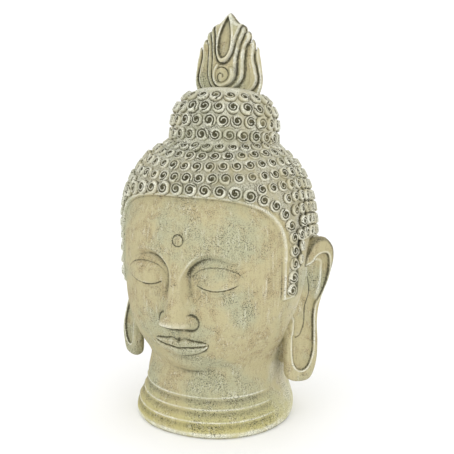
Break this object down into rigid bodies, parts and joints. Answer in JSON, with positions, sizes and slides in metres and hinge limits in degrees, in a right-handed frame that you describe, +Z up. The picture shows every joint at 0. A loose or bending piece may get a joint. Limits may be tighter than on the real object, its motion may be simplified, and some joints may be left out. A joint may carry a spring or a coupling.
{
  "type": "buddha head statue",
  "caption": "Cast-stone Buddha head with a calm face, snail-shell curls, a domed crown knot with a flame, long ears and a ringed neck on a flat underside.",
  "frame": {"origin": "centre of the outline seen from above, on the flat underside", "axes": "+Z up, the face looks towards -Y, +X is the statue's own left"},
  "size_m": [0.28, 0.2642, 0.5],
  "materials": {
    "stone": "matt cast stone in pale sage khaki, whitewashed on the high spots, dark wash in the grooves"
  },
  "bodies": {
    "root": {"head_casting": "stone"}
  },
  "joints": []
}
